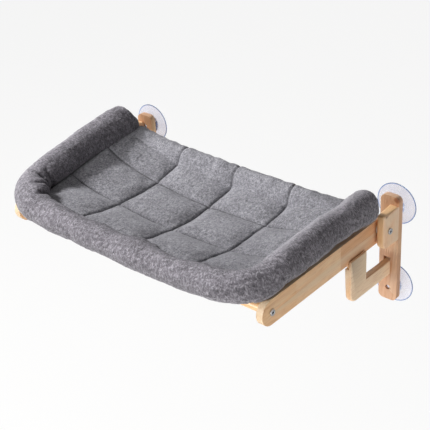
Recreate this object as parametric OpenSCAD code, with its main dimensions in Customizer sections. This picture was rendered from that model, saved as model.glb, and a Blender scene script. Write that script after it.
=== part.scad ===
// Window mounted cat perch. Two wooden posts, held to the glass by suction cups, carry a
// hinged seat frame with a sling, a quilted mat and a bolster on three sides.
// X runs along the window, Y points at the glass and Z points up.
// The origin lies on the glass, midway between the four suction cups.

/* [Posts] */
// Distance between the centre lines of the posts
post_span = 557.5; // [500:0.5:640]
// Width of a post
post_w = 36; // [34:1:44]
// Thickness of a post
post_t = 11; // [10:0.5:14]
// Height of a post
post_h = 204; // [196:1:240]
// Radius of a post's corners
post_corner_r = 10; // [4:1:14]

/* [Suction cups] */
// Diameter of a cup
cup_d = 75; // [60:1:80]
// Distance from an end of a post to the middle of its cup
cup_inset = 24; // [18:1:26]
// Distance from the glass to the back of a post
cup_stand = 11; // [10:0.5:14]
// Width of the flat rim on the glass
cup_rim_w = 4; // [2:0.5:6]
// Thickness of a cup at its rim
cup_edge_t = 1.2; // [0.8:0.1:2]
// Depth of the hollow in a cup
cup_hollow = 2.4; // [1:0.1:3]
// Thickness of a cup's skirt where it meets the hub
cup_skirt_h = 5.4; // [4.5:0.1:6.5]
// Hollowness of the skirt's outer curve
cup_curve = 1.4; // [1:0.1:2]
// Diameter of the hub at the skirt
hub_d = 38; // [30:1:44]
// Diameter of the hub at the post
hub_top_d = 27; // [18:1:30]
// Diameter of the neck
neck_d = 7; // [5:0.5:8]
// Diameter of the button that holds the neck in the post
button_d = 8.4; // [8.2:0.1:9]
// Height of the button
button_h = 3; // [2:0.5:4]
// Diameter of the hole round the button
button_hole_d = 9.2; // [9.2:0.1:11]
// Depth of the hole round the button
button_hole_depth = 6; // [5:0.5:7]

/* [Pivot blocks] */
// Thickness of a block along the window
block_t = 15; // [12:0.5:18]
// Length of a block away from the post
block_l = 44.5; // [40:0.5:50]
// Height of a block
block_h = 65; // [55:1:75]
// Height of a block's top above the pivot
block_above = 34; // [24:1:38]
// Radius of the lower front corner
block_low_r = 11; // [4:1:16]
// Radius of the other corners
block_r = 5; // [2:0.5:7]

/* [Seat frame] */
// Distance from the top of a post to the pivot
pivot_drop = 47.5; // [42:0.5:52]
// Distance from the front of a post to the pivot
pivot_reach = 28; // [28:0.5:34]
// Height of the pivot above the middle of a rail
pivot_rise = 5; // [3:0.5:6]
// Height of a rail
rail_h = 45; // [40:1:48]
// Thickness of a rail
rail_t = 12; // [10:0.5:14]
// Distance between the end centres of a rail
rail_l = 289; // [260:1:320]
// Diameter of the round bars
bar_d = 16; // [14:0.5:18]
// Thickness of the spacers between rails and blocks
spacer_t = 5; // [3:0.5:6]
// Diameter of the spacers
spacer_d = 20; // [16:1:24]

/* [Bolts and screws] */
// Diameter of the bolts
bolt_d = 6; // [5:0.5:6.5]
// Diameter of the bolt heads
bolt_head_d = 10.5; // [9.5:0.5:12]
// Height of the bolt heads
bolt_head_h = 3; // [2:0.5:4]
// Width across the corners of the socket
socket_d = 4.6; // [4:0.2:5]
// Depth of the socket
socket_depth = 1.8; // [1:0.2:1.8]
// Depth of a bolt's end in its bar
bolt_grip = 13; // [10:1:15]
// Diameter of the threaded inserts
insert_d = 8.6; // [8.2:0.2:10]
// Length of the threaded inserts
insert_l = 16; // [16:1:20]
// Diameter of the block screws
screw_d = 4; // [3:0.5:4.5]
// Diameter of the screw heads
screw_head_d = 8; // [7:0.5:8.5]
// Height of the screw heads
screw_head_h = 2.6; // [2:0.2:3]
// Length of the block screws
screw_l = 36; // [28:1:40]
// Height of the block screws above and below the pivot
screw_offset = 22; // [18:0.5:24]

/* [Supports] */
// Thickness of a support
support_t = 12; // [11:0.5:14]
// Width of the upright arm of a support
support_w = 44; // [36:1:50]
// Distance from the front of a post to the front of a support
support_reach = 116.5; // [100:0.5:130]
// Height of a support's foot above the middle of the lower cup
support_foot_rise = 28.3; // [28:0.1:32]
// Height of the level arm
arm_h = 28; // [22:1:30]
// Radius of the lower front corner of a support
support_r = 18; // [10:1:22]
// Thickness of the lip outside the rail
lip_t = 4.4; // [3:0.2:6]
// Height of the lip beside the rail
lip_h = 5.8; // [3:0.2:9]
// Drop of the hook behind the post
hook_drop = 4; // [3:0.5:5]
// Thickness of the hook
hook_t = 6; // [4:0.5:7]
// Depth of the pocket in the front of a support
pocket_depth = 8; // [8:0.5:12]
// Height of the pocket in the front of a support
pocket_h = 9.5; // [6:0.5:12]
// Diameter of the stop pegs
peg_d = 5; // [4:0.5:5]
// Depth of a stop peg in its rail
peg_grip = 10; // [6:1:12]

/* [Sling] */
// Thickness of the cloth
cloth_t = 1.6; // [1:0.1:2.4]
// Sag of the sling between the bars
sling_sag = 26; // [15:1:28]
// Distance from a rail to the edge of the sling
sling_margin = 40; // [8:0.5:50]

/* [Mat] */
// Distance from a rail to the edge of the mat
mat_margin = 4.5; // [4.5:0.5:20]
// Distance from the pivot to the rear edge of the mat
mat_setback = 12; // [11:0.5:20]
// Distance from the outer sewn channels to the edge of the mat
quilt_margin = 12; // [10:1:30]
// Length of one quilted panel
panel_l = 96; // [90:1:104]
// Thickness of the mat at the sewn channels
mat_t = 17; // [12:0.5:20]
// Height of a panel's crown above the channels
crown_h = 9; // [4:0.5:12]
// Height of the rolled rear edge above the mat
roll_h = 24; // [10:1:28]
// Half width of the rolled rear edge
roll_r = 18; // [12:1:22]
// Distance from a mat's drawn-in edge to its widest line
mat_bulge = 3; // [1:0.5:4]

/* [Bolster] */
// Diameter of the bolster
bolster_d = 54; // [44:1:57]
// Distance from a rail's inner face outwards to the centre line of its arm, at the rear
bolster_lap = 4.5; // [0:0.5:5]
// Distance that each arm leans inwards towards the front
bolster_lean = 11; // [4:1:16]
// Radius of its corners
bolster_corner_r = 60; // [50:1:90]
// Distance from the pivot to the rear end of its centre line
bolster_setback = 42; // [36:1:50]
// Distance from the front bar to its centre line
bolster_front = 28; // [27:0.5:34]
// Height of the centre line above the middle of the rails, at the rear
bolster_rear_z = 63; // [62:1:70]
// Height of the centre line above the middle of the rails, at the front
bolster_front_z = 26; // [24:0.5:30]

/* [Hidden] */
$fn = 64;

// Clearances and the overrun of cuts
overrun = 1;
run_fit = 0.05;
slip_fit = 0.1;
loose_fit = 0.5;
rest_gap = 0.2;
cloth_gap = 0.3;
cushion_gap = 1.5;
mat_front_gap = 2;
lip_play = 1.3;

// Sides
left = -1;
right = 1;

// Colours
wood_colour = [0.87, 0.68, 0.5];
plush_colour = [0.45, 0.45, 0.47];
canvas_colour = [0.3, 0.3, 0.32];
clear_colour = [0.8, 0.86, 0.95, 0.5];
steel_colour = [0.7, 0.72, 0.74];
brass_colour = [0.78, 0.62, 0.3];
nylon_colour = [0.9, 0.9, 0.88];

// Places of the posts
post_x = post_span / 2;
post_back_y = -cup_stand;
post_front_y = post_back_y - post_t;
post_outer_x = post_x + post_w / 2;
cup_z = post_h / 2 - cup_inset;
bore_depth = post_t - button_hole_depth;

// Places of the blocks
pivot_z = post_h / 2 - pivot_drop;
block_inner_x = post_outer_x - block_t;
block_front_y = post_front_y - block_l;
block_top_z = pivot_z + block_above;
block_low_z = block_top_z - block_h;
screw_x = post_outer_x - block_t / 2;

// Places of the seat frame
pivot_y = post_front_y - pivot_reach;
rail_z = pivot_z - pivot_rise;
rail_r = rail_h / 2;
rail_low_z = rail_z - rail_r;
rail_outer_x = block_inner_x - spacer_t - 2 * slip_fit;
rail_inner_x = rail_outer_x - rail_t;
front_bar_y = pivot_y - rail_l;
bar_r = bar_d / 2;
bolt_r = bolt_d / 2;

// Places of the supports
support_outer_x = rail_outer_x + lip_play + lip_t;
support_inner_x = support_outer_x - support_t;
support_front_y = post_front_y - support_reach;
support_rear_y = support_front_y + support_w;
support_top_z = rail_low_z - rest_gap;
support_low_z = support_foot_rise - cup_z;
arm_top_z = support_low_z + arm_h;
slot_h = arm_h + hook_drop + loose_fit;
slot_w = support_t + 2 * loose_fit;
hook_front_y = post_back_y + cloth_gap;
peg_r = peg_d / 2;
pocket_back_y = support_front_y + pocket_depth;
peg_y = pocket_back_y - cloth_gap - peg_r;
peg_x = support_inner_x + peg_r;
pocket_floor_z = support_top_z - pocket_h;
peg_low_z = pocket_floor_z + loose_fit;

// Sling, as a hanging line from bar to bar
sleeve_in_r = bar_r + cloth_gap;
sleeve_r = sleeve_in_r + cloth_t;
sling_half = rail_inner_x - sling_margin;
sling_steps = 24;
function sling_y(share) = pivot_y - share * rail_l;
function sling_chord_z(share) = pivot_z - share * pivot_rise;
function sling_top_at(share) = sling_chord_z(share) + sleeve_r - 4 * sling_sag * share * (1 - share);
function sling_top_z(y) = sling_top_at((pivot_y - y) / rail_l);

// Bolster, as a centre line measured from the middle of its front
bolster_r = bolster_d / 2;
bolster_front_y = front_bar_y - bolster_front;
bolster_rear_y = pivot_y - bolster_setback;
arm_rear_x = rail_inner_x + bolster_lap;
arm_front_x = arm_rear_x - bolster_lean;
corner_x = arm_front_x - bolster_corner_r;
corner_y = bolster_front_y + bolster_corner_r;
corner_l = PI * bolster_corner_r / 2;
arm_l = norm([bolster_lean, bolster_rear_y - corner_y]);
half_l = corner_x + corner_l + arm_l;
bolster_drop = bolster_rear_z - bolster_front_z;
drop_start_share = 0.15;
drop_end_share = 0.9;
function clamp(v) = min(1, max(0, v));
function smooth(v) = clamp(v) * clamp(v) * (3 - 2 * clamp(v));
function way_share(d) = (half_l - abs(d)) / half_l;
function drop_share(d) = smooth((way_share(d) - drop_start_share) / (drop_end_share - drop_start_share));
function line_z(d) = rail_z + bolster_rear_z - bolster_drop * drop_share(d);
function turn_angle(d) = 90 * (abs(d) - corner_x) / corner_l;
function arm_share(d) = (abs(d) - corner_x - corner_l) / arm_l;
function half_x(d) =
    abs(d) < corner_x ? abs(d) :
    abs(d) < corner_x + corner_l ? corner_x + bolster_corner_r * sin(turn_angle(d)) :
    arm_front_x + bolster_lean * arm_share(d);
function half_y(d) =
    abs(d) < corner_x ? bolster_front_y :
    abs(d) < corner_x + corner_l ? corner_y - bolster_corner_r * cos(turn_angle(d)) :
    corner_y + (bolster_rear_y - corner_y) * arm_share(d);
function line_point(d) = [sign(d) * half_x(d), half_y(d), line_z(d)];

// Rings of the bolster, with a round end at each arm
bolster_steps = 50;
bolster_sides = 18;
cap_shares = [0.4, 0.72, 0.92, 0.995];
end_dir = [bolster_lean, bolster_rear_y - corner_y, 0] / arm_l;
function mirrored(v) = [-v.x, v.y, v.z];
function cap_point(share) = line_point(half_l) + end_dir * bolster_r * share;
function cap_radius(share) = bolster_r * sqrt(1 - share * share);
line_places = [for (i = [0:bolster_steps]) half_l * (2 * i / bolster_steps - 1)];
line_points = [for (d = line_places) line_point(d)];
cap_points = [for (share = cap_shares) cap_point(share)];
cap_count = len(cap_shares);
all_points = concat(
    [for (i = [cap_count - 1:-1:0]) mirrored(cap_points[i])],
    line_points,
    cap_points
);
all_radii = concat(
    [for (i = [cap_count - 1:-1:0]) cap_radius(cap_shares[i])],
    [for (d = line_places) bolster_r],
    [for (share = cap_shares) cap_radius(share)]
);
ring_count = len(all_points);
function unit(v) = v / norm(v);
function ring_dir(i) = unit(all_points[min(i + 1, ring_count - 1)] - all_points[max(i - 1, 0)]);
function ring_side(i) = unit(cross(ring_dir(i), [0, 0, 1]));
function ring_up(i) = cross(ring_side(i), ring_dir(i));
function ring_arrow(i, turn) = cos(turn) * ring_side(i) + sin(turn) * ring_up(i);
function ring_point(i, turn) = all_points[i] + all_radii[i] * ring_arrow(i, turn);

// Mat, as a grid of panels with a dished top that lies under the bolster
mat_rear_y = pivot_y - mat_setback;
mat_front_y = front_bar_y + mat_front_gap;
mat_half = rail_inner_x - mat_margin;
columns_a_side = 2;
full_rows = 2;
quilt_half = mat_half - quilt_margin;
panel_w = quilt_half / columns_a_side;
last_row_y = mat_rear_y - full_rows * panel_l;
last_row_l = last_row_y - mat_front_y;
panel_shares = [0, 0.08, 0.27, 0.5, 0.73, 0.92];
across = concat(
    [-mat_half],
    [for (p = [-columns_a_side:columns_a_side - 1]) for (share = panel_shares) (p + share) * panel_w],
    [quilt_half, mat_half]
);
along = concat(
    [for (row = [0:full_rows - 1]) for (share = panel_shares) mat_rear_y - (row + share) * panel_l],
    [for (share = panel_shares) last_row_y - share * last_row_l],
    [mat_front_y]
);
dish_start_x = arm_rear_x - bolster_r;
dish_power = 3.5;
dish_below_share = 0.6;
function bump(v) = sqrt(max(0, 4 * v * (1 - v)));
function part_share(v) = v - floor(v);
function row_share(y) =
    y > last_row_y ? part_share((mat_rear_y - y) / panel_l) : (last_row_y - y) / last_row_l;
function crown(x, y) =
    abs(x) >= quilt_half ? 0 : crown_h * bump(part_share(x / panel_w)) * bump(row_share(y));
function roll_share(y) = (y - mat_rear_y + roll_r) / roll_r;
function roll(y) = roll_h * sqrt(max(0, 1 - roll_share(y) * roll_share(y)));
function arm_way(y) = clamp((y - corner_y) / (bolster_rear_y - corner_y));
function arm_line_z(y) = line_z(corner_x + corner_l + arm_l * arm_way(y));
function dish_z(y) = arm_line_z(y) - dish_below_share * bolster_r;
function dish_share(x) = pow(clamp(abs(x) / dish_start_x), dish_power);
function bed_z(x, y) = sling_top_z(y) + cloth_gap + mat_t + crown(x, y) + roll(y);
function free_top_z(x, y) = bed_z(x, y) + (max(dish_z(y), bed_z(x, y)) - bed_z(x, y)) * dish_share(x);
press_steps = 100;
press_r = bolster_r + cushion_gap;
press_points = concat([for (i = [0:press_steps]) line_point(half_l * i / press_steps)], cap_points);
function reach_to(point, x, y) = norm([point.x - x, point.y - y]);
function under_ball(point, x, y) =
    reach_to(point, abs(x), y) >= press_r ? free_top_z(x, y) :
    point.z - sqrt(pow(press_r, 2) - pow(reach_to(point, abs(x), y), 2));
function mat_top_z(x, y) = min([for (point = press_points) under_ball(point, x, y)]);
function sleeve_top_z(y) = rail_z + sqrt(max(0, pow(sleeve_r, 2) - pow(y - front_bar_y, 2)));
function mat_low_z(y) = max(sling_top_z(y), sleeve_top_z(y)) + cloth_gap;

// A piece on the right, or its mirror image on the left
module on_side(side) {
    if (side == left) mirror([1, 0, 0]) children();
    else children();
}

// Turns an outline in Y and Z into a board that runs along X
module board(x, thick) {
    translate([x, 0, 0]) rotate([90, 0, 90]) linear_extrude(thick) children();
}

// Turns a shape made along Z into one that runs along X
module along_x(x, y, z) {
    translate([x, y, z]) rotate([0, 90, 0]) children();
}

// Turns a shape made along Z into one that runs away from the glass
module away_from_glass(x, y, z) {
    translate([x, y, z]) rotate([90, 0, 0]) children();
}

// Rectangle with its own radius at each corner, from the lower left corner round
module rounded_plate(w, h, radii) {
    polygon([
        [radii[0], 0], [w - radii[1], 0], [w, radii[1]], [w, h - radii[2]],
        [w - radii[2], h], [radii[3], h], [0, h - radii[3]], [0, radii[0]]
    ]);
    translate([radii[0], radii[0]]) circle(radii[0]);
    translate([w - radii[1], radii[1]]) circle(radii[1]);
    translate([w - radii[2], h - radii[2]]) circle(radii[2]);
    translate([radii[3], h - radii[3]]) circle(radii[3]);
}

module countersunk_screw(extra) {
    cylinder(h = screw_head_h, r1 = screw_head_d / 2 + extra, r2 = screw_d / 2 + extra);
    cylinder(h = screw_l + extra, r = screw_d / 2 + extra);
}

module post(side) {
    color(wood_colour) on_side(side) difference() {
        away_from_glass(post_x, post_back_y, 0) linear_extrude(post_t)
            translate([-post_w / 2, -post_h / 2])
            rounded_plate(post_w, post_h, [for (i = [0:3]) post_corner_r]);
        for (z = [-cup_z, cup_z]) {
            away_from_glass(post_x, post_back_y + overrun, z)
                cylinder(h = post_t + overrun, r = neck_d / 2 + slip_fit);
            away_from_glass(post_x, post_back_y - bore_depth, z)
                cylinder(h = button_hole_depth + overrun, r = button_hole_d / 2);
        }
        translate([support_inner_x - loose_fit, post_front_y - overrun, support_low_z])
            cube([slot_w, post_t + 2 * overrun, slot_h]);
        for (z = [-screw_offset, screw_offset])
            away_from_glass(screw_x, post_back_y, pivot_z + z) {
                translate([0, 0, -overrun]) cylinder(h = overrun, r = screw_head_d / 2 + slip_fit);
                countersunk_screw(slip_fit);
            }
    }
}

module block(side) {
    color(wood_colour) on_side(side) difference() {
        board(block_inner_x, block_t) translate([block_front_y, block_low_z])
            rounded_plate(block_l, block_h, [block_low_r, block_r, block_r, block_r]);
        along_x(block_inner_x - overrun, pivot_y, pivot_z)
            cylinder(h = block_t + 2 * overrun, r = bolt_r + run_fit);
        for (z = [-screw_offset, screw_offset])
            away_from_glass(screw_x, post_back_y, pivot_z + z) countersunk_screw(slip_fit);
    }
}

module block_screw(side, up) {
    color(steel_colour) on_side(side)
        away_from_glass(screw_x, post_back_y, pivot_z + up * screw_offset) countersunk_screw(0);
}

module cup(side, up) {
    rim_r = cup_d / 2;
    hollow_r = rim_r - cup_rim_w;
    steps = 10;
    hollow = [for (i = [0:steps]) [hollow_r * i / steps, cup_hollow * (1 - pow(i / steps, 2))]];
    skirt_w = rim_r - hub_d / 2;
    skirt_rise = cup_skirt_h - cup_edge_t;
    skirt = [for (i = [0:steps])
        [rim_r - skirt_w * i / steps, cup_edge_t + skirt_rise * pow(i / steps, cup_curve)]];
    button_low = cup_stand + bore_depth + slip_fit;
    hub_low = cup_stand - slip_fit;
    stem = [
        [hub_top_d / 2, hub_low], [neck_d / 2, hub_low], [neck_d / 2, button_low],
        [button_d / 2, button_low], [neck_d / 2, button_low + button_h], [0, button_low + button_h]
    ];
    color(clear_colour) on_side(side) away_from_glass(post_x, 0, up * cup_z)
        rotate_extrude() polygon(concat(hollow, [[rim_r, 0]], skirt, stem));
}

module support(side) {
    hook_rear_y = hook_front_y + hook_t;
    hook_low_z = support_low_z - hook_drop;
    color(wood_colour) on_side(side) difference() {
        union() {
            board(support_inner_x, support_t) {
                polygon([
                    [support_front_y, support_top_z], [support_front_y, support_low_z + support_r],
                    [support_front_y + support_r, support_low_z], [hook_front_y, support_low_z],
                    [hook_front_y, hook_low_z], [hook_rear_y, hook_low_z], [hook_rear_y, arm_top_z],
                    [support_rear_y, arm_top_z], [support_rear_y, support_top_z]
                ]);
                translate([support_front_y + support_r, support_low_z + support_r]) circle(support_r);
            }
            board(support_outer_x - lip_t, lip_t) translate([support_front_y, support_top_z - lip_t])
                square([support_w, lip_t + lip_h]);
        }
        translate([support_inner_x - overrun, support_front_y - overrun, pocket_floor_z])
            cube([support_t - lip_t + overrun, pocket_depth + overrun, pocket_h + overrun]);
    }
}

module rail(side) {
    color(wood_colour) on_side(side) difference() {
        board(rail_inner_x, rail_t) {
            translate([front_bar_y, rail_low_z]) square([rail_l, rail_h]);
            translate([front_bar_y, rail_z]) circle(rail_r);
            translate([pivot_y, rail_z]) circle(rail_r);
        }
        along_x(rail_inner_x - overrun, pivot_y, pivot_z)
            cylinder(h = rail_t + 2 * overrun, r = bolt_r + slip_fit);
        along_x(rail_inner_x - overrun, front_bar_y, rail_z)
            cylinder(h = rail_t + 2 * overrun, r = bolt_r + slip_fit);
        translate([peg_x, peg_y, rail_low_z - overrun])
            cylinder(h = overrun + peg_grip + slip_fit, r = peg_r + slip_fit);
    }
}

module bar(y, z) {
    color(wood_colour) difference() {
        along_x(-rail_inner_x + slip_fit, y, z) cylinder(h = 2 * (rail_inner_x - slip_fit), r = bar_r);
        for (side = [left, right]) on_side(side)
            along_x(rail_inner_x - slip_fit - insert_l, y, z)
                cylinder(h = insert_l + overrun, r = insert_d / 2 + slip_fit);
    }
}

module insert(side, y, z) {
    color(brass_colour) on_side(side)
        along_x(rail_inner_x - slip_fit - insert_l + slip_fit, y, z) difference() {
            cylinder(h = insert_l - 2 * slip_fit, r = insert_d / 2);
            translate([0, 0, insert_l - bolt_grip - overrun])
                cylinder(h = bolt_grip + 2 * overrun, r = bolt_r + slip_fit);
        }
}

module bolt(side, head_x, y, z) {
    end_x = rail_inner_x - bolt_grip;
    color(steel_colour) on_side(side) difference() {
        union() {
            along_x(end_x, y, z) cylinder(h = head_x - end_x + overrun, r = bolt_r);
            along_x(head_x, y, z) cylinder(h = bolt_head_h, r = bolt_head_d / 2);
        }
        along_x(head_x + bolt_head_h - socket_depth, y, z)
            cylinder(h = socket_depth + overrun, r = socket_d / 2, $fn = 6);
    }
}

module spacer(side) {
    color(nylon_colour) on_side(side) along_x(rail_outer_x + slip_fit, pivot_y, pivot_z) difference() {
        cylinder(h = spacer_t, r = spacer_d / 2);
        translate([0, 0, -overrun]) cylinder(h = spacer_t + 2 * overrun, r = bolt_r + slip_fit);
    }
}

module stop_peg(side) {
    color(wood_colour) on_side(side) translate([peg_x, peg_y, peg_low_z])
        cylinder(h = rail_low_z + peg_grip - peg_low_z, r = peg_r);
}

module sling() {
    top = [for (i = [0:sling_steps]) [sling_y(i / sling_steps), sling_top_at(i / sling_steps)]];
    low = [for (i = [sling_steps:-1:0]) [sling_y(i / sling_steps), sling_top_at(i / sling_steps) - cloth_t]];
    color(canvas_colour) board(-sling_half, 2 * sling_half) difference() {
        union() {
            polygon(concat(top, low));
            translate([pivot_y, pivot_z]) circle(sleeve_r);
            translate([front_bar_y, rail_z]) circle(sleeve_r);
        }
        translate([pivot_y, pivot_z]) circle(sleeve_in_r);
        translate([front_bar_y, rail_z]) circle(sleeve_in_r);
    }
}

module mat() {
    columns = len(across);
    rows = len(along);
    last_x = columns - 1;
    last_y = rows - 1;
    function inset(v, low, high) = min(max(v, low + mat_bulge), high - mat_bulge);
    function grid_x(i) = inset(across[i], -mat_half, mat_half);
    function grid_y(j) = inset(along[j], mat_front_y, mat_rear_y);
    top = [for (j = [0:last_y]) for (i = [0:last_x]) [grid_x(i), grid_y(j), mat_top_z(grid_x(i), grid_y(j))]];
    low = [for (j = [0:last_y]) for (i = [0:last_x]) [grid_x(i), grid_y(j), mat_low_z(grid_y(j))]];
    edge = concat(
        [for (i = [0:last_x]) [i, 0]],
        [for (j = [1:last_y]) [last_x, j]],
        [for (i = [last_x - 1:-1:0]) [i, last_y]],
        [for (j = [last_y - 1:-1:1]) [0, j]]
    );
    edge_count = len(edge);
    grid_count = columns * rows;
    function at(place) = place[0] + place[1] * columns;
    middle = [for (place = edge)
        [across[place[0]], along[place[1]], (top[at(place)].z + low[at(place)].z) / 2]];
    top_faces = [for (j = [0:last_y - 1]) for (i = [0:last_x - 1]) for (half = [0, 1])
        half == 0 ?
        [at([i, j]), at([i + 1, j]), at([i + 1, j + 1])] :
        [at([i, j]), at([i + 1, j + 1]), at([i, j + 1])]];
    low_faces = [for (face = top_faces) [face[0] + grid_count, face[2] + grid_count, face[1] + grid_count]];
    wall_faces = [for (k = [0:edge_count - 1]) for (part = [0:3])
        let (
            next = (k + 1) % edge_count,
            upper = at(edge[k]),
            upper_next = at(edge[next]),
            mid = 2 * grid_count + k,
            mid_next = 2 * grid_count + next
        )
        part == 0 ? [upper, mid_next, upper_next] :
        part == 1 ? [upper, mid, mid_next] :
        part == 2 ? [mid, upper_next + grid_count, mid_next] :
        [mid, upper + grid_count, upper_next + grid_count]];
    color(plush_colour) polyhedron(concat(top, low, middle), concat(top_faces, low_faces, wall_faces));
}

module bolster() {
    points = [for (i = [0:ring_count - 1]) for (k = [0:bolster_sides - 1])
        ring_point(i, 360 * k / bolster_sides)];
    function at(i, k) = i * bolster_sides + k % bolster_sides;
    skin = [for (i = [0:ring_count - 2]) for (k = [0:bolster_sides - 1]) for (half = [0, 1])
        half == 0 ?
        [at(i, k), at(i + 1, k + 1), at(i + 1, k)] :
        [at(i, k), at(i, k + 1), at(i + 1, k + 1)]];
    start = [[for (k = [bolster_sides - 1:-1:0]) at(0, k)]];
    finish = [[for (k = [0:bolster_sides - 1]) at(ring_count - 1, k)]];
    color(plush_colour) polyhedron(points, concat(skin, start, finish));
}

post(left);  // post_left
post(right);  // post_right
block(left);  // block_left
block(right);  // block_right
block_screw(left, 1);  // block_screw_upper_left
block_screw(right, 1);  // block_screw_upper_right
block_screw(left, -1);  // block_screw_lower_left
block_screw(right, -1);  // block_screw_lower_right
cup(left, 1);  // cup_upper_left
cup(right, 1);  // cup_upper_right
cup(left, -1);  // cup_lower_left
cup(right, -1);  // cup_lower_right
support(left);  // support_left
support(right);  // support_right
rail(left);  // rail_left
rail(right);  // rail_right
bar(front_bar_y, rail_z);  // front_bar
bar(pivot_y, pivot_z);  // rear_bar
bolt(left, rail_outer_x, front_bar_y, rail_z);  // front_bolt_left
bolt(right, rail_outer_x, front_bar_y, rail_z);  // front_bolt_right
bolt(left, post_outer_x + slip_fit, pivot_y, pivot_z);  // pivot_bolt_left
bolt(right, post_outer_x + slip_fit, pivot_y, pivot_z);  // pivot_bolt_right
insert(left, front_bar_y, rail_z);  // front_insert_left
insert(right, front_bar_y, rail_z);  // front_insert_right
insert(left, pivot_y, pivot_z);  // rear_insert_left
insert(right, pivot_y, pivot_z);  // rear_insert_right
spacer(left);  // spacer_left
spacer(right);  // spacer_right
stop_peg(left);  // stop_peg_left
stop_peg(right);  // stop_peg_right
sling();
mat();
bolster();
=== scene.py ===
# %% [markdown]
# # A cat perch for a window
#
# This lesson dresses the working model of a window perch: a wooden frame on four clear
# suction cups, with a sling seat, a quilted plush mat and a stuffed roll on three sides.
# The working model says where everything is and how the seat tips up. Here each piece gets
# the shape and finish that the eye expects, in the same place.

# %% Load the working model
import math
from functools import partial

import bmesh
import bpy
import numpy as np
from mathutils import Matrix, Vector, noise
from mathutils.kdtree import KDTree


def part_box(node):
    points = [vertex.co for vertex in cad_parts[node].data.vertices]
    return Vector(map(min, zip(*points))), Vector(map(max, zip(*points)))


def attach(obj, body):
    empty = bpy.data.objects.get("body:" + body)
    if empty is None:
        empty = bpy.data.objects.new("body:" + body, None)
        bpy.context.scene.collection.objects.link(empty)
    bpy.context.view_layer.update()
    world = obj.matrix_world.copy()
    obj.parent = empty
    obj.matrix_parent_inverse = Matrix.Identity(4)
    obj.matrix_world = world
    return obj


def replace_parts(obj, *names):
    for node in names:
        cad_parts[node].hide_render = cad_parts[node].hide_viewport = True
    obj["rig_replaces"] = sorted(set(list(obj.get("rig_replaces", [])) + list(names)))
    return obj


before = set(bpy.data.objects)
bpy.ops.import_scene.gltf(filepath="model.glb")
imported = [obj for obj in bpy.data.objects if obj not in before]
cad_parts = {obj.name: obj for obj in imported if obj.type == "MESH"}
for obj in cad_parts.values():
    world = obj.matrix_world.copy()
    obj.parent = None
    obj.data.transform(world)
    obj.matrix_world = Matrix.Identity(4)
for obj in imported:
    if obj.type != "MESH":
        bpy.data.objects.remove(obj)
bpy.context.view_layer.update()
MM = 0.001

# %% [markdown]
# ## The camera
#
# A product photograph like this one is taken with a long lens from the front right, a
# little above the seat, so that parallel edges stay nearly parallel. A matrix built from
# three turns holds the view exactly, which a Track To constraint could not do because the
# photographer's camera leans by a few degrees.

# %% Place the camera
IMAGE_PX = 430
FOCAL_PX = 1103.1
SENSOR_MM = 36
SEES_AS_FAR_AS = 20
CAMERA_AT = Vector((1117.8, -1384.1, 998.9)) * MM
HEADING = math.radians(42.04)
LOOK_DOWN = math.radians(30.12)
LEAN = math.radians(-3.5)


def set_all(thing, **settings):
    for name, value in settings.items():
        setattr(thing, name, value)


def add_object(name, data):
    added = bpy.data.objects.new(name, data)
    bpy.context.scene.collection.objects.link(added)
    return added


def add_camera():
    data = bpy.data.cameras.new("camera")
    set_all(data, sensor_width=SENSOR_MM, lens=FOCAL_PX / IMAGE_PX * SENSOR_MM, clip_end=SEES_AS_FAR_AS)
    camera = add_object("camera", data)
    turn = Matrix.Rotation(HEADING, 4, "Z") @ Matrix.Rotation(math.radians(90) - LOOK_DOWN, 4, "X")
    turn = turn @ Matrix.Rotation(LEAN, 4, "Z")
    camera.matrix_world = Matrix.Translation(CAMERA_AT) @ turn
    bpy.context.scene.camera = camera
    return camera


camera = add_camera()
print("lens", round(camera.data.lens, 1), "mm")

# %% [markdown]
# ## Light and floor
#
# The perch hangs on a window about a metre up, so the pale floor lies far below it and its
# shadow is soft. A lamp from the left draws a bright line along the crests of the roll and
# leaves the side that faces the window's middle in shade. A wide lamp in front lights the
# fronts of the wooden parts, and a weak one from low on the right fills their sides. The
# background is white only to the camera, to reflections and through clear plastic, so it
# adds no light of its own.

# %% Helpers for materials
TINTED = {"data_type": "RGBA"}
MULTIPLIED = {"data_type": "RGBA", "blend_type": "MULTIPLY"}


def linear(hex_colour):
    """Turns an sRGB hex colour into the linear values that a shader needs."""
    parts = [int(hex_colour[i:i + 2], 16) / 255 for i in (1, 3, 5)]
    return tuple(c / 12.92 if c <= 0.04045 else ((c + 0.055) / 1.055) ** 2.4 for c in parts) + (1.0,)


def grey(level):
    return (level, level, level, 1)


def set_stops(band, stops):
    """Gives a colour band its stops. Each is a place from 0 to 1 and a hex colour or a grey level."""
    while len(band.elements) < len(stops):
        band.elements.new(0.5)
    for element, (place, colour) in zip(band.elements, stops):
        element.position = place
        element.color = linear(colour) if isinstance(colour, str) else grey(colour)


def add_node(tree, kind, *inputs, **named):
    """Adds a node. Its inputs are given in their order, or like its settings by name.

    A node or an output that is given gets linked, and a hex colour is made linear.
    """
    node = tree.nodes.new("ShaderNode" + kind)
    if "stops" in named:
        set_stops(node.color_ramp, named.pop("stops"))
    set_all(node, **{name: named.pop(name) for name in list(named) if hasattr(node, name)})
    free = [socket for socket in node.inputs if socket.enabled]
    by_name = [(node.inputs[name.replace("_", " ")], value) for name, value in named.items()]
    for socket, value in list(zip(free, inputs)) + by_name:
        if isinstance(value, bpy.types.Node):
            value = next(output for output in value.outputs if output.enabled)
        if isinstance(value, bpy.types.NodeSocket):
            tree.links.new(value, socket)
        else:
            socket.default_value = linear(value) if isinstance(value, str) else value
    return node


def node_adder(owner):
    """Empties the nodes of a material or a world, and gives the function that adds nodes there."""
    owner.use_nodes = True
    owner.node_tree.nodes.clear()
    return partial(add_node, owner.node_tree)


def new_material(name):
    material = bpy.data.materials.new(name)
    return material, node_adder(material)


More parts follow.
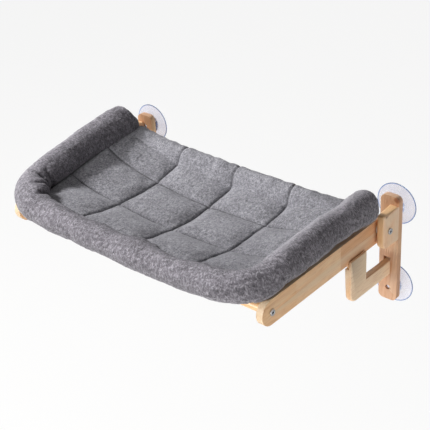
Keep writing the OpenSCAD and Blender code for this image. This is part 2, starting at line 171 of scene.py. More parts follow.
def shade_by(add, colour, value, stops, amount=1):
    """Multiplies a colour by the tint that a colour band gives for a value."""
    return add("Mix", amount, colour, add("ValToRGB", value, stops=stops), **MULTIPLIED)


print("mid grey in linear light:", round(linear("#808080")[0], 3))

# %% Build the studio
FLOOR_Z = -0.95
FLOOR_SIZE = 14.0
FLOOR_GLOW = 0.88
WORLD_LEVEL = 0.2


def seen_by(add, *kinds):
    """Gives 1 to these kinds of rays and 0 to all others."""
    rays = add("LightPath")
    seen = rays.outputs[f"Is {kinds[0]} Ray"]
    for kind in kinds[1:]:
        seen = add("Math", seen, rays.outputs[f"Is {kind} Ray"], operation="MAXIMUM")
    return seen


def add_floor():
    """A matt painted floor, which also glows towards the camera, so that it looks almost white."""
    bpy.ops.object.select_all(action="DESELECT")
    bpy.ops.mesh.primitive_plane_add(size=FLOOR_SIZE, location=(0, 0, FLOOR_Z))
    floor = bpy.context.object
    floor.name = "studio_floor"
    material, add = new_material("painted_studio_floor")
    paint = add("BsdfPrincipled", Base_Color="#F4F3F0", Roughness=0.85)
    glow = add("Emission", grey(1), 1.0)
    blend = add("MixShader", FLOOR_GLOW, paint, glow)
    chosen = add("MixShader", seen_by(add, "Camera", "Transmission"), paint, blend)
    add("OutputMaterial", chosen)
    floor.data.materials.append(material)


def add_world():
    """A weak even light, which looks white to the camera, in reflections and through clear plastic."""
    world = bpy.data.worlds.new("studio_air")
    add = node_adder(world)
    light = add("Background", "#F5F3F2", WORLD_LEVEL)
    white = add("Background", grey(1), 1.0)
    chosen = add("MixShader", seen_by(add, "Camera", "Glossy", "Transmission"), light, white)
    add("OutputWorld", chosen)
    bpy.context.scene.world = world


def add_lamp(name, place, target, size, watts):
    data = bpy.data.lights.new(name, "AREA")
    set_all(data, shape="DISK", size=size, energy=watts)
    lamp = add_object(name, data)
    lamp.location = place
    lamp.rotation_euler = (Vector(target) - Vector(place)).to_track_quat("-Z", "Y").to_euler()


SEAT_MIDDLE = (0, -0.2, 0.05)
add_floor()
add_world()
add_lamp("left_softbox", (-1.8, -0.68, 1.6), SEAT_MIDDLE, 0.5, 61)
add_lamp("front_softbox", (-0.25, -2.2, 0.45), SEAT_MIDDLE, 1.0, 33)
add_lamp("low_right_softbox", (1.7, -0.7, -0.75), (0.27, -0.2, 0.0), 1.2, 13)
scene = bpy.context.scene
scene.view_settings.view_transform = "Standard"
print("studio built, floor at", FLOOR_Z)

# %% [markdown]
# ## Turning a solid into a made piece
#
# The working solids have knife-sharp edges. A joiner sands every edge until it is kind to
# the hand, and that narrow rounded edge is what catches the light. Each piece could be
# modelled afresh, but a copy of the solid is sure to sit where it should. The copy is loose
# triangles, so its points are merged and its flat faces joined before a bevel goes on.

# %% Helpers for pieces
MERGE = 0.01 * MM
FLAT_ANGLE = math.radians(0.5)
EASE_ANGLE = math.radians(33)
SMOOTH_ANGLE = math.radians(42)
made = []


def only(piece):
    """Makes one piece the only one selected, and the active one."""
    bpy.ops.object.select_all(action="DESELECT")
    piece.select_set(True)
    bpy.context.view_layer.objects.active = piece


def edit_whole(piece, *steps):
    """Works on the whole of a piece's mesh. Each step is a tool and the tool's settings."""
    only(piece)
    bpy.ops.object.mode_set(mode="EDIT")
    for tool, settings in steps:
        bpy.ops.mesh.select_all(action="SELECT")
        tool(**settings)
    bpy.ops.object.mode_set(mode="OBJECT")


MERGE_POINTS = (bpy.ops.mesh.remove_doubles, {"threshold": MERGE})
FACE_OUTWARDS = (bpy.ops.mesh.normals_make_consistent, {"inside": False})


def copy_solid(node, name):
    """Copies a working solid as a new mesh with merged points and whole flat faces."""
    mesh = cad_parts[node].data.copy()
    mesh.name = name
    piece = add_object(name, mesh)
    edit_whole(piece, MERGE_POINTS, (bpy.ops.mesh.dissolve_limited, {"angle_limit": FLAT_ANGLE}))
    return piece


def modify(piece, kind, **settings):
    """Gives a piece one modifier and applies it."""
    modifier = piece.modifiers.new(kind.lower(), kind)
    set_all(modifier, **settings)
    only(piece)
    bpy.ops.object.modifier_apply(modifier=modifier.name)


def ease_edges(piece, width, steps=3):
    """Rounds the sharp edges, as sandpaper or a mould does."""
    modify(piece, "BEVEL", width=width, segments=steps, limit_method="ANGLE", angle_limit=EASE_ANGLE,
           use_clamp_overlap=True)
    bpy.ops.object.shade_smooth_by_angle(angle=SMOOTH_ANGLE)


def round_outline(piece, width, wanted):
    """Rounds the sharp edges that a test picks by their two end points."""
    only(piece)
    bpy.ops.object.mode_set(mode="EDIT")
    bpy.ops.mesh.select_mode(type="EDGE")
    bpy.ops.mesh.select_all(action="DESELECT")
    shape = bmesh.from_edit_mesh(piece.data)
    for edge in shape.edges:
        if edge.is_manifold and edge.calc_face_angle() > EASE_ANGLE:
            edge.select_set(wanted(edge.verts[0].co, edge.verts[1].co))
    bmesh.update_edit_mesh(piece.data)
    bpy.ops.mesh.bevel(offset=width, segments=5, affect="EDGES", clamp_overlap=False)
    bpy.ops.object.mode_set(mode="OBJECT")


def set_finish(piece, finish):
    piece.data.materials.clear()
    piece.data.materials.append(finish)


def finish_piece(piece, body, finish, node):
    """Gives a piece its finish and its body, and lets it stand for a working solid."""
    set_finish(piece, finish)
    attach(piece, body)
    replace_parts(piece, node)
    made.append(piece)


def middle_of(node):
    low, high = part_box(node)
    return (low + high) / 2


print("helpers ready")

# %% [markdown]
# ## Wood
#
# The frame is sawn from finger-jointed boards of a pale plantation wood and sealed with a
# thin clear lacquer. Short blocks of slightly different colour meet in zigzag joints, and
# that is what tells it from plain pine. One-dimensional Voronoi cells give blocks of uneven
# length along the grain, a zigzag across the grain bends their ends into fingers, and the
# colour of each cell also shifts the grain, so that no streak runs through a joint.

# %% Wood finish
BLOCK_LENGTH = 105 * MM
STREAK_WIDTH = 2.6 * MM
FIGURE_WIDTH = 11 * MM
PORE_WIDTH = 1.1 * MM
FINGER_PITCH = 4.5 * MM
FINGER_LENGTH = 10 * MM
DRAWN_OUT = (0.045, 1, 1)
KNOT_R = 7.5 * MM
KNOT_PLACE = (292 * MM, -22 * MM, 97 * MM)
KNOT_RINGS = ((0.2, "#A87A5C"), (0.55, "#C89A7C"), (0.7, "#E6CDB8"), (1.0, 1))
BLOCK_TONES = ((0.0, 1), (0.4, "#FFF6E6"), (0.62, "#F3DFC8"), (0.82, "#DDB899"))
GRAIN_TURN = {
    "x": (0, 0, 0),
    "y": (0, 0, math.radians(-90)),
    "z": (0, math.radians(90), 0),
}


def add_knot(add, place, colour, centre):
    """Darkens a round knot, with soft rings round it, where a branch once grew."""
    arrow = add("VectorMath", place, centre, operation="SUBTRACT")
    wavy = add("TexNoise", place, Scale=1 / KNOT_R, Detail=2)
    far = add("VectorMath", arrow, operation="LENGTH")
    reach = add("Math", far, 1 / KNOT_R, -0.5, operation="MULTIPLY_ADD")
    reach = add("Math", reach, wavy, operation="ADD")
    return shade_by(add, colour, reach, KNOT_RINGS)


def lacquered_wood(name, along, seed, grain_colours, wide, narrow, blocks=0.55, coat=0.12, knot=None):
    """Sawn, sanded and lacquered wood, whose grain runs along x, y or z.

    Wide and narrow tint the faces that look sideways and the thin edges between them.
    """
    pale, mid, deep = grain_colours
    material, add = new_material(name)
    place = add("TexCoord")
    turned = add("Mapping", place.outputs["Object"], Rotation=GRAIN_TURN[along])
    parts = add("SeparateXYZ", turned).outputs
    # The zigzag of the finger joints, which shows on the wide faces.
    teeth = [add("Math", parts[axis], FINGER_PITCH / 2, operation="PINGPONG") for axis in "YZ"]
    teeth = add("Math", *teeth, operation="MAXIMUM")
    slope = 2 * FINGER_LENGTH / FINGER_PITCH
    joint = add("Math", teeth, slope, parts["X"], operation="MULTIPLY_ADD")
    way = add("Math", joint, 1 / BLOCK_LENGTH, seed, operation="MULTIPLY_ADD")
    block = add("TexVoronoi", voronoi_dimensions="1D", W=way, Scale=1, Randomness=0.8)
    block = block.outputs["Color"]
    shift = add("VectorMath", block, (1, 1, 1), turned, operation="MULTIPLY_ADD")
    drawn = add("VectorMath", shift, DRAWN_OUT, operation="MULTIPLY")
    # Early and late wood: fine streaks on a broad figure.
    streaks = add("TexNoise", drawn, Scale=1 / STREAK_WIDTH, Detail=4, Roughness=0.6, Distortion=0.4)
    figure = add("TexNoise", drawn, Scale=1 / FIGURE_WIDTH, Detail=2)
    grain = add("Mix", 0.45, streaks, figure)
    colour = add("ValToRGB", grain, stops=((0.3, deep), (0.5, mid), (0.68, pale)))
    # Each block has its own tone, from straw to a warm brown.
    tone = add("SeparateColor", block)
    tint = add("ValToRGB", tone, stops=BLOCK_TONES)
    tint.color_ramp.interpolation = "CONSTANT"
    colour = add("Mix", blocks, colour, tint, **MULTIPLIED)
    # A board's wide faces and its edges cut the year rings differently, so their tones differ.
    # Each part's two tints are also set for how its faces are lit, which is partly painted light and
    # shade.
    facing = add("SeparateXYZ", place.outputs["Normal"])
    sideways = add("Math", facing.outputs["X"], operation="ABSOLUTE")
    colour = shade_by(add, colour, sideways, ((0.4, narrow), (0.8, wide)))
    # Pores are dashes far finer than a pixel, so they are drawn about three times too wide.
    pores = add("TexNoise", drawn, Scale=1 / PORE_WIDTH, Detail=2)
    colour = shade_by(add, colour, pores, ((0.36, "#C79A74"), (0.46, 1)), 0.4)
    if knot:
        colour = add_knot(add, place.outputs["Object"], colour, knot)
    # Lacquer is thin on the eased edges, which look a little lighter.
    shape = add("NewGeometry")
    rubbed = add("ValToRGB", shape.outputs["Pointiness"], stops=((0.5, 0), (0.62, 0.5)))
    colour = add("Mix", rubbed, colour, "#EFDCC0", **TINTED)
    gloss = add("ValToRGB", grain, stops=((0.3, 0.56), (0.7, 0.42)))
    relief = add("Bump", Strength=0.25, Distance=0.3 * MM, Height=grain)
    shader = add("BsdfPrincipled", Base_Color=colour, Roughness=gloss, Normal=relief, IOR=1.5,
                 Coat_Weight=coat, Coat_Roughness=0.3)
    add("OutputMaterial", shader)
    return material


CREAM_GRAIN = ("#F9DEC6", "#F3CFB4", "#E3B894")
PALE_GRAIN = ("#FFEAD2", "#FDE3C9", "#F8DABC")
GOLDEN_GRAIN = ("#FFD9A8", "#FBCB90", "#EBB06E")
rail_wood = lacquered_wood("finger_jointed_rail_wood", "y", 3.35, CREAM_GRAIN, "#FFF5DA", "#F0FAF4")
post_wood = {
    "right": lacquered_wood("finger_jointed_post_wood", "z", 7.1, CREAM_GRAIN, "#E9DBC9", "#F2EADF",
                            knot=KNOT_PLACE),
    # The left post's front faces get a darker tint, painted shade from the roll in front of it, and its
    # sides a lighter one, painted light.
    "left": lacquered_wood("left_post_wood_with_painted_shade", "z", 7.1, CREAM_GRAIN, "#FFFBE0", "#D8C8B6"),
}
block_wood = lacquered_wood("sawn_block_wood", "z", 1.6, PALE_GRAIN, "#FDE9D5", "#FFE8C2", blocks=0.0)
support_wood = lacquered_wood("sawn_support_wood", "y", 5.2, PALE_GRAIN, "#FFFAEE", "#EAD4B8", blocks=0.1)
dowel_wood = lacquered_wood("varnished_dowel_wood", "x", 9.4, GOLDEN_GRAIN, "#FFFFFF", "#FFFFFF",
                            blocks=0.15, coat=0.6)
print("six woods mixed")

# %% [markdown]
# ## The frame
#
# Two posts stand against the glass, each with a screwed-on block that holds a pivot bolt.
# Two side rails with round ends run forward from the pivots, joined by two dowels, and an
# L-shaped support hooks through each post to hold its rail level. They are copies of the
# solids with edges eased by different amounts: boards by a router, small cut parts by hand.

# %% Boards and dowels
ROUTED_EDGE = 1.8 * MM
HAND_EDGE = 0.9 * MM
BLOCK_ROUND = 4.5 * MM
SUPPORT_ROUND = 3.6 * MM
SUPPORT_TOP_Z = 12 * MM
NEAR_WINDOW = 16 * MM
HOLE_CLEAR = 6 * MM
ABOVE_ALL = 1.0
SIDES = ("left", "right")


def free_edge(node, top_z, hole=None):
    """Picks the outline of a block or support, away from what it touches and from its hole."""
    low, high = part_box(node)

    def wanted(a, b):
        on_face = any(abs(a.x - x) < MERGE and abs(b.x - x) < MERGE for x in (low.x, high.x))
        if hole and min(math.hypot(p.y - hole.y, p.z - hole.z) for p in (a, b)) <= HOLE_CLEAR:
            return False
        return on_face and max(a.z, b.z) < top_z and min(a.y, b.y) < high.y - NEAR_WINDOW

    return wanted


for side in SIDES:
    for part, body, edge, wood in (
        ("post", "window_frame", ROUTED_EDGE, post_wood[side]),
        ("block", "window_frame", ROUTED_EDGE, block_wood),
        ("support", "window_frame", HAND_EDGE, support_wood),
        ("rail", "seat", ROUTED_EDGE, rail_wood),
    ):
        node = f"{part}_{side}"
        board = copy_solid(node, f"eased_{node}")
        if part == "block":
            round_outline(board, BLOCK_ROUND, free_edge(node, ABOVE_ALL, middle_of(f"pivot_bolt_{side}")))
        if part == "support":
            round_outline(board, SUPPORT_ROUND, free_edge(node, SUPPORT_TOP_Z))
        ease_edges(board, edge)
        finish_piece(board, body, wood, node)
for place in ("front", "rear"):
    dowel = copy_solid(f"{place}_bar", f"turned_{place}_bar")
    ease_edges(dowel, HAND_EDGE)
    finish_piece(dowel, "seat", dowel_wood, f"{place}_bar")
print(len(made), "wooden pieces")

# %% [markdown]
# ## The seat's soft parts
#
# The seat is three things sewn together: a canvas sling between the two dowels, a quilted
# mat on it, and a stuffed roll round three sides. All three follow lines that the working
# model already has, so those lines come first: the hanging line of the sling and the centre
# line of the roll, measured from the middle of its front.

# %% Lines that the soft parts follow
CLOTH_THICK = 1.6 * MM
SLEEVE_GAP = 0.3 * MM
SLING_SAG = 26 * MM
ROLL_R = 27 * MM
ROLL_CORNER_R = 60 * MM
ROLL_LEAN = 11 * MM
ROLL_FRONT_DROP = 37 * MM
LEFT_END_LIFT = 12 * MM
LEFT_END_FROM = 80 * MM
LEFT_CORNER_DROP = 2 * MM
LEFT_CORNER_REACH = 60 * MM
RIGHT_ARM_LIFT = 2 * MM
rear_bar = middle_of("rear_bar")
front_bar = middle_of("front_bar")
bar_r = (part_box("front_bar")[1].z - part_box("front_bar")[0].z) / 2
seat_length = rear_bar.y - front_bar.y
sleeve_r = bar_r + SLEEVE_GAP + CLOTH_THICK
roll_low, roll_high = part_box("bolster")
roll_front_y = roll_low.y + ROLL_R
roll_rear_y = roll_high.y - ROLL_R
arm_rear_x = roll_high.x - ROLL_R
corner_x = arm_rear_x - ROLL_LEAN - ROLL_CORNER_R
corner_y = roll_front_y + ROLL_CORNER_R
corner_l = math.pi * ROLL_CORNER_R / 2
arm_l = math.hypot(ROLL_LEAN, roll_rear_y - corner_y)
half_l = corner_x + corner_l + arm_l
roll_rear_z = roll_high.z - ROLL_R
roll_front_z = roll_rear_z - ROLL_FRONT_DROP


def sling_top(y):
    """Height of the sling's upper face: a shallow curve from dowel to dowel."""
    share = (rear_bar.y - y) / seat_length
    chord = rear_bar.z + (front_bar.z - rear_bar.z) * share
    return chord + sleeve_r - 4 * SLING_SAG * share * (1 - share)


def smooth_step(v):
    v = np.clip(v, 0, 1)
    return v * v * (3 - 2 * v)


def hump(away, reach):
    """A soft hump: 1 where away is 0, about a third at the reach, almost nothing at twice the reach."""
    return np.exp(-(away / reach) ** 2)


def arm_amount(d, sign):
    """How much of a side arm's own shape a place has, from 0 at the corner to 1."""
    return smooth_step((sign * d - corner_x - corner_l * 0.5) / (arm_l * 0.6))


def arm_lift(d):
    """How far the stuffing pushes the right arm and the left arm's end up, and its corner down."""
    left_end = smooth_step((-d - corner_x - corner_l - LEFT_END_FROM) / (arm_l * 0.65))
    rise = LEFT_END_LIFT * left_end + RIGHT_ARM_LIFT * arm_amount(d, 1)
    return rise - LEFT_CORNER_DROP * hump(d + corner_x + corner_l * 0.9, LEFT_CORNER_REACH)


def roll_line(d):
    """Points on the roll's centre line at signed distances d from its front middle."""
    d = np.asarray(d, float)
    far = np.abs(d)
    turn = np.clip((far - corner_x) / corner_l, 0, 1) * math.pi / 2
    arm = np.clip((far - corner_x - corner_l) / arm_l, 0, 1)
    x = np.minimum(far, corner_x) + ROLL_CORNER_R * np.sin(turn) + ROLL_LEAN * arm
    y = corner_y - ROLL_CORNER_R * np.cos(turn) + (roll_rear_y - corner_y) * arm
    drop = smooth_step(((half_l - far) / half_l - 0.15) / 0.75)
    z = roll_rear_z - (roll_rear_z - roll_front_z) * drop + arm_lift(d)
    return np.stack([np.sign(d) * x, y, z], axis=-1)


print("sling from", round(seat_length, 3), "m, roll", round(2 * half_l, 3), "m along its middle")

# %% [markdown]
# ## Cloth that swells
#
# Stuffed fabric is best left to the cloth solver: air pressure pushes the skin out, a little
# spare fabric lets it pucker, and points that are sewn stay where they are. The solver works
# on a coarse mesh, and no point may move further than a set cap, because real stuffing also
# stops somewhere.

# %% Helpers for soft parts
SWELL_FRAMES = 20
CLOTH_RULES = {
    "quality": 7,
    "mass": 0.25,
    "tension_stiffness": 12,
    "compression_stiffness": 12,
    "shear_stiffness": 5,
    "bending_stiffness": 0.4,
    "tension_damping": 12,
    "compression_damping": 12,
    "air_damping": 4,
    "vertex_group_mass": "sewn",
    "use_pressure": True,
}


def strip_faces(rows, wide, closed=False):
    """Faces between rows of points. Closed rows meet their own start."""
    return [(j * wide + i, j * wide + (i + 1) % wide, (j + 1) * wide + (i + 1) % wide, (j + 1) * wide + i)
            for j in range(rows - 1) for i in range(wide if closed else wide - 1)]


def mesh_piece(name, points, faces):
    """Makes a mesh object from points and faces, with its faces turned outwards."""
    mesh = bpy.data.meshes.new(name)
    mesh.from_pydata([tuple(p) for p in points], [], faces)
    mesh.update()
    piece = add_object(name, mesh)
    edit_whole(piece, FACE_OUTWARDS)
    return piece


def points_of(mesh):
    flat = np.zeros(len(mesh.vertices) * 3)
    mesh.vertices.foreach_get("co", flat)
    return flat.reshape(-1, 3)


def set_points(piece, points):
    piece.data.vertices.foreach_set("co", np.asarray(points, float).ravel())
    piece.data.update()


def store(piece, name, values):
    """Stores a number or an arrow at each point, for a finish to read."""
    values = np.asarray(values, np.float32)
    kind, field = ("FLOAT", "value") if values.ndim == 1 else ("FLOAT_VECTOR", "vector")
    stored = piece.data.attributes.new(name, kind, "POINT")
    stored.data.foreach_set(field, values.ravel())


def swell(piece, sewn, pressure, spare, cap):
    """Blows a closed skin up with the cloth solver. Sewn points stay where they are."""
    group = piece.vertex_groups.new(name="sewn")
    group.add([int(i) for i in np.nonzero(sewn)[0]], 1.0, "REPLACE")
    start = points_of(piece.data)
    cloth = piece.modifiers.new("cloth", "CLOTH")
    set_all(cloth.settings, **CLOTH_RULES, uniform_pressure_force=pressure, shrink_min=-spare)
    cloth.settings.effector_weights.gravity = 0
    cloth.collision_settings.use_collision = False
    for span in (scene, cloth.point_cache):
        set_all(span, frame_start=1, frame_end=SWELL_FRAMES)
    for step in range(1, SWELL_FRAMES + 1):
        scene.frame_set(step)
    solved = piece.evaluated_get(bpy.context.evaluated_depsgraph_get())
    moved = points_of(solved.data) - start
    piece.modifiers.remove(cloth)
    scene.frame_set(1)
    reach = np.linalg.norm(moved, axis=1)
    moved *= (np.minimum(reach, cap) / np.maximum(reach, 1e-9))[:, None]
    set_points(piece, start + moved)
    piece.vertex_groups.clear()
    return float(reach.max())


def subdivide_once(piece):
    modify(piece, "SUBSURF", levels=1, render_levels=1)


def add_pile(piece, size, height):
    """Roughens a plush skin with soft clumps, as brushed pile has."""
    clumps = bpy.data.textures.new(f"{piece.name}_clumps", "CLOUDS")
    set_all(clumps, noise_scale=size, noise_depth=2)
    modify(piece, "DISPLACE", texture=clumps, texture_coords="LOCAL", strength=height, mid_level=0.5)
    piece.data.shade_smooth()


print("cloth helpers ready")

# %% [markdown]
# ## The roll
#
# The roll is a plush tube stuffed with fibre, sewn along its inner foot to the mat. Its
# fabric is a straight tube, so on the inner side of each front corner there is too much of
# it, and it gathers into folds that run to one point. A tube is swept along the centre line
# in rings a few millimetres apart, swollen, and then the gathers are pressed in.

# %% Sweep the roll
RING_STEP = 4.2 * MM
RING_SIDES = 40
START_SLACK = 2 * MM
END_STEPS = 7
RIGHT_ARM_SLIM = 1.2 * MM
FOOT_ANGLE = math.radians(218)
FOOT_WIDTH = math.radians(26)
SWOLLEN_R = 26.8 * MM
SKIRT_ANGLE = math.radians(-49)
SKIRT_WIDTH = math.radians(38)
SKIRT_MOST = 0.4
RESTS_AT = 2 * MM
RESTS_MORE = 7 * MM
FOOT_FOLLOWS = 0.9
END_FULLNESS = 2.6
END_LENGTH = 0.93
END_SLANT = 14 * MM
LEFT_END_TILT = 10 * MM
END_SLANT_REACH = 26 * MM
rail_low, rail_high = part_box("rail_right")


def roll_frames(d):
    """The centre, sideways arrow and upward arrow of each ring. Sideways points outwards."""
    middle = roll_line(d)
    ahead = roll_line(d + 0.5 * MM) - roll_line(d - 0.5 * MM)
    ahead /= np.linalg.norm(ahead, axis=1)[:, None]
    out = np.cross(ahead, (0, 0, -1))
    out /= np.linalg.norm(out, axis=1)[:, None]
    up = np.cross(out, ahead)
    up *= np.sign(up[:, 2:3])
    flat = ahead * (1, 1, 0)
    outward = np.stack([flat[:, 1], -flat[:, 0], np.zeros(len(d))], axis=-1)
    out *= np.sign((out * outward).sum(axis=1))[:, None]
    return middle, ahead, out, up


def skirt_to_rail(d, middle, radius):
    """How much further than round the cover hangs, so that it rests on the rail's inner edge."""
    rests = rail_low.x + RESTS_AT + RESTS_MORE * arm_amount(np.abs(d), 1)
    over = (rests - np.abs(middle[:, 0])) * math.cos(SKIRT_ANGLE)
    over += (rail_high.z - middle[:, 2]) * math.sin(SKIRT_ANGLE)
    on_arm = smooth_step((np.abs(d) - corner_x - corner_l * 0.5) / (corner_l * 0.5))
    return np.clip((over - SWOLLEN_R) / radius, 0, SKIRT_MOST) * on_arm


def apart(angle, other):
    """The smaller angle between two angles."""
    return np.abs((angle - other + math.pi) % (2 * math.pi) - math.pi)


def slant_ends(points, all_rings, angles, ahead):
    """Draws the foot of each end back, as its seam pulls it, and the left end's top forward."""
    for end, way, tilt in ((0, -ahead[0], LEFT_END_TILT), (-1, ahead[-1], 0)):
        tip = all_rings[end][0]
        for i, ring in enumerate(all_rings):
            near = smooth_step(1 - np.dot(tip - ring[0], way) / END_SLANT_REACH)
            near *= np.linalg.norm(tip - ring[0]) < 2 * END_SLANT_REACH
            for k, angle in enumerate(angles):
                back = END_SLANT * max(0, -math.cos(angle)) * max(0, -math.sin(angle))
                points[i * RING_SIDES + k] += way * near * (back - tilt * max(0, math.sin(angle)))


def sweep_roll():
    """Sweeps the tube a little slack, but full at the foot, where it is sewn to the mat."""
    places = np.linspace(-half_l, half_l, int(2 * half_l / RING_STEP))
    middle, ahead, out, up = roll_frames(places)
    radius = ROLL_R - START_SLACK - RIGHT_ARM_SLIM * arm_amount(places, 1)
    hang = skirt_to_rail(places, middle, radius)
    fuller = (START_SLACK + FOOT_FOLLOWS * np.maximum(arm_lift(places), 0)) / ROLL_R
    shares = np.sin(np.linspace(0, math.pi / 2, END_STEPS + 1))[1:-1]
    fullness = (1 - shares ** END_FULLNESS) ** (1 / END_FULLNESS)
    caps = []
    tips = []
    for end, sign in ((0, -1), (-1, 1)):
        reach = ahead[end] * sign * radius[end] * END_LENGTH
        caps.append([(middle[end] + reach * s, radius[end] * f, out[end], up[end], hang[end], fuller[end])
                     for s, f in zip(shares, fullness)])
        tips.append(middle[end] + reach)
    all_rings = caps[0][::-1] + list(zip(middle, radius, out, up, hang, fuller)) + caps[1]
    angles = np.linspace(0, 2 * math.pi, RING_SIDES, endpoint=False)
    foot = hump(apart(angles, FOOT_ANGLE), FOOT_WIDTH)
    skirt = hump(apart(angles, SKIRT_ANGLE), SKIRT_WIDTH)
    points = []
    for centre, r, side, above, more, full in all_rings:
        for angle, share in zip(angles, 1 + full * foot + more * skirt):
            points.append(centre + r * share * (math.cos(angle) * side + math.sin(angle) * above))
    faces = strip_faces(len(all_rings), RING_SIDES, closed=True)
    tip = len(points)
    points += tips
    last = (len(all_rings) - 1) * RING_SIDES
    faces += [(tip, (k + 1) % RING_SIDES, k) for k in range(RING_SIDES)]
    faces += [(tip + 1, last + k, last + (k + 1) % RING_SIDES) for k in range(RING_SIDES)]
    slant_ends(points, all_rings, angles, ahead)
    return mesh_piece("plush_bolster", points, faces), np.append(np.tile(angles, len(all_rings)), (0, 0))


bolster, turns = sweep_roll()
inner_foot = np.abs(turns - FOOT_ANGLE) < FOOT_WIDTH
moved = swell(bolster, inner_foot, pressure=4, spare=0.03, cap=4.5 * MM)
subdivide_once(bolster)
print("roll:", len(bolster.data.vertices), "points, swollen by up to", round(moved / MM, 1), "mm")

# %% Press in the gathers
FOLD_DEPTH = 8.5 * MM
FOLD_WIDTH = 6 * MM
FOLDS_START = math.radians(195)
LEFT_REACH = math.radians(125)
RIGHT_REACH = math.radians(105)
FRONT_REACH = math.radians(108)
PUCKER_REACH = math.radians(112)
LUMP_SIZE = 42 * MM
LUMP_HEIGHT = 1.8 * MM
PUCKER_STEP = 17 * MM
PUCKERS_STOP = 10 * MM
LINE_SAMPLES = 1400
LEFT_FOLDS = ((-0.12, 0.45), (0.14, 0.9), (0.44, 1.0), (0.64, 0.3), (0.8, 0.95), (1.05, 0.4))
RIGHT_FOLDS = ((-0.15, 0.5), (0.12, 0.75), (0.38, 0.45), (0.6, 0.8), (0.9, 0.4))
FRONT_FOLDS = ((-120 * MM, 0.7), (-17 * MM, 0.9), (122 * MM, 0.75))
BULGE_REACH = 30
# Places along the roll and heights in mm. A belly has a reach of its own.
BULGES = ((-240, 13), (-58, 4), (35, 7), (112, -5), (165, 2))
BELLIES = ((-60, -7.5, 72), (75, -5.5, 76), (250, 5.5, 24))
# Places round the roll in degrees, each with its reach: 0 is outwards and 90 is straight up.
BULGE_SIDE = (150, 50)
BELLY_SIDE = (278, 52)
FRONT_TOP_SHADE_SIDE = (142, 34)
LEFT_INNER_SHADE_SIDE = (185, 48)
CREST_SIDE = (112, 30)
# Strengths of painted shade and of a painted highlight on the roll.
FRONT_TOP_PAINTED_SHADE = 0.5
FRONT_TOP_SHADE_FADE = 60 * MM
LEFT_INNER_PAINTED_SHADE = 0.26
RIGHT_CREST_PAINTED_HIGHLIGHT = 0.26
FOLD_SHADE = 0.85


def roll_place(points):
    """For each point: its distance along the roll, its angle round it and its outward arrow."""
    samples = np.linspace(-half_l, half_l, LINE_SAMPLES)
    middle, ahead, out, up = roll_frames(samples)
    tree = KDTree(len(samples))
    for i, place in enumerate(middle):
        tree.insert(place, i)
    tree.balance()
    nearest = np.array([tree.find(p)[1] for p in points])
    arrow = points - middle[nearest]
    side = (arrow * out[nearest]).sum(axis=1)
    height = (arrow * up[nearest]).sum(axis=1)
    along = samples[nearest] + (arrow * ahead[nearest]).sum(axis=1)
    arrow /= np.linalg.norm(arrow, axis=1)[:, None]
    return along, np.arctan2(height, side) % (2 * math.pi), arrow


def fold_rows():
    """Folds as (place along the roll, strength, width, how far round they reach)."""
    rows = []
    for folds, sign, reach in ((LEFT_FOLDS, -1, LEFT_REACH), (RIGHT_FOLDS, 1, RIGHT_REACH)):
        for share, strength in folds:
            width = FOLD_WIDTH * (0.4 + 0.6 * strength)
            rows.append((sign * (corner_x + corner_l * share), strength, width, reach))
    for i, place in enumerate(np.arange(PUCKERS_STOP - corner_x, corner_x - PUCKERS_STOP, PUCKER_STEP)):
        strength = 0.1 + 0.32 * math.sin(2.4 * i) ** 2
        rows.append((place + 5 * MM * math.sin(3.1 * i), strength, 0.75 * FOLD_WIDTH, PUCKER_REACH))
    return rows + [(place, strength, FOLD_WIDTH, FRONT_REACH) for place, strength in FRONT_FOLDS]


def press_gathers(piece):
    """Presses in the folds, swells and flattens some places, and stores painted shade and a painted
    highlight.
    """
    points = points_of(piece.data)
    along, turn, arrow = roll_place(points)

    def round_at(side):
        return hump(apart(turn, math.radians(side[0])), math.radians(side[1]))

    from_foot = np.abs(turn - FOLDS_START)
    dip = np.zeros(len(points))
    shade = np.zeros(len(points))
    for place, strength, width, reach in fold_rows():
        bend = 4 * MM * np.sin(from_foot * 2.2 + place * 40)
        row = hump(along - place - bend, width) * smooth_step(1.3 - 1.3 * from_foot / reach)
        dip = np.maximum(dip, strength * FOLD_DEPTH * row)
        # Painted shade, as strong as the fold is deep.
        shade = np.maximum(shade, strength * row)
    lumps = np.array([noise.noise(Vector(p) / LUMP_SIZE) for p in points])
    bulge = sum(high * hump(along / MM - place, BULGE_REACH) for place, high in BULGES)
    belly = sum(high * hump(along / MM - place, reach) for place, high, reach in BELLIES)
    swollen = MM * (bulge * round_at(BULGE_SIDE) + belly * round_at(BELLY_SIDE))
    from_seam = (turn - FOOT_ANGLE) % (2 * math.pi) * ROLL_R
    store(piece, "nap", np.stack([along, from_seam, np.zeros(len(points))], axis=-1))
    set_points(piece, points + arrow * (LUMP_HEIGHT * lumps + swollen - dip)[:, None])
    # Painted shade on the inner top of the roll's front, fading out towards the corners.
    at_front = smooth_step((corner_x + FRONT_TOP_SHADE_FADE / 2 - np.abs(along)) / FRONT_TOP_SHADE_FADE)
    front_top_shade = FRONT_TOP_PAINTED_SHADE * round_at(FRONT_TOP_SHADE_SIDE) * at_front
    # Painted shade on the left arm's inner side, which faces away from the left lamp.
    left_inner_shade = LEFT_INNER_PAINTED_SHADE * round_at(LEFT_INNER_SHADE_SIDE) * arm_amount(along, -1)
    store(piece, "painted_shade", np.maximum.reduce([np.clip(shade, 0, 1) * FOLD_SHADE, front_top_shade, left_inner_shade]))
    # A painted highlight along the right arm's crest.
    store(piece, "painted_crest_highlight", RIGHT_CREST_PAINTED_HIGHLIGHT * round_at(CREST_SIDE) * arm_amount(along, 1))


press_gathers(bolster)
print(len(fold_rows()), "folds pressed into the roll")

# %% [markdown]
# ## The quilted mat
#
# The mat is two layers of plush with wadding between them, quilted in three rows of panels.
# Its rear edge is rolled over the rear dowel, its sides climb up under the roll, and its
# front edge thins out below the roll, where the two are sewn together. The top and bottom
# are one closed grid whose lines follow the seams, so that the solver can hold the seams
# down while the panels swell.

